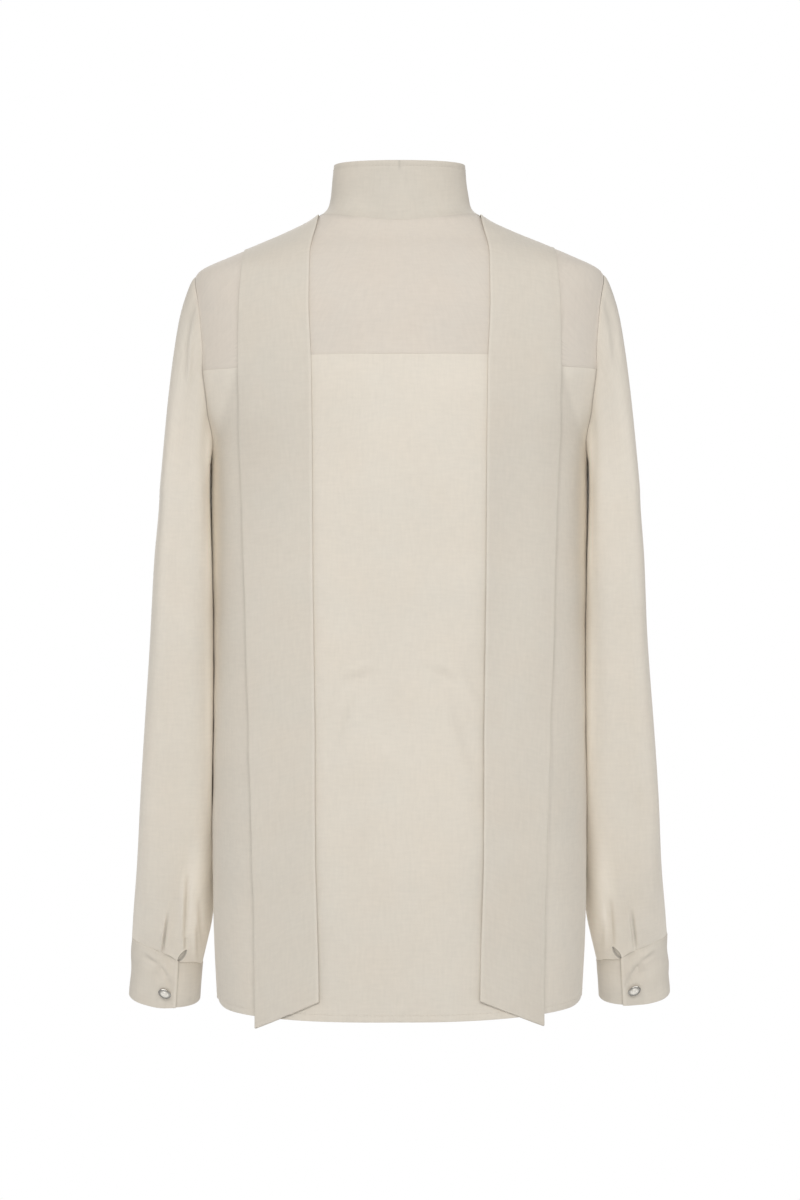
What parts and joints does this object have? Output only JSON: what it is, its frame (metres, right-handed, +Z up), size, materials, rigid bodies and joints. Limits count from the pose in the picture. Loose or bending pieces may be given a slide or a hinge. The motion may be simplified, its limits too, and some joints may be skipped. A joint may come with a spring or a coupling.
{
  "type": "silk blouse",
  "caption": "Filled-out silk blouse with a stand collar, a back yoke, set-in sleeves with barrel cuffs, and two long ties that hang down the back.",
  "frame": {"origin": "centre of the neck opening, at the level where the shoulder seams meet the collar", "axes": "+Z up along the body, +Y out of the back, +X towards the wearer's left"},
  "size_m": [0.4848, 0.2333, 0.7476],
  "materials": {
    "silk_body": "matt crepe",
    "silk_yoke": "matt crepe, double layer",
    "silk_trim": "matt crepe, double layer",
    "silver_button": "polished silver"
  },
  "bodies": {
    "root": {"back_panel": "silk_body", "back_yoke": "silk_yoke", "collar": "silk_trim", "front_left": "silk_body", "front_right": "silk_body", "front_placket": "silk_body", "sleeve_left": "silk_body", "sleeve_right": "silk_body", "cuff_left": "silk_trim", "cuff_right": "silk_trim", "tie_left": "silk_trim", "tie_right": "silk_trim", "cuff_button_left": "silver_button", "cuff_button_right": "silver_button"}
  },
  "joints": []
}
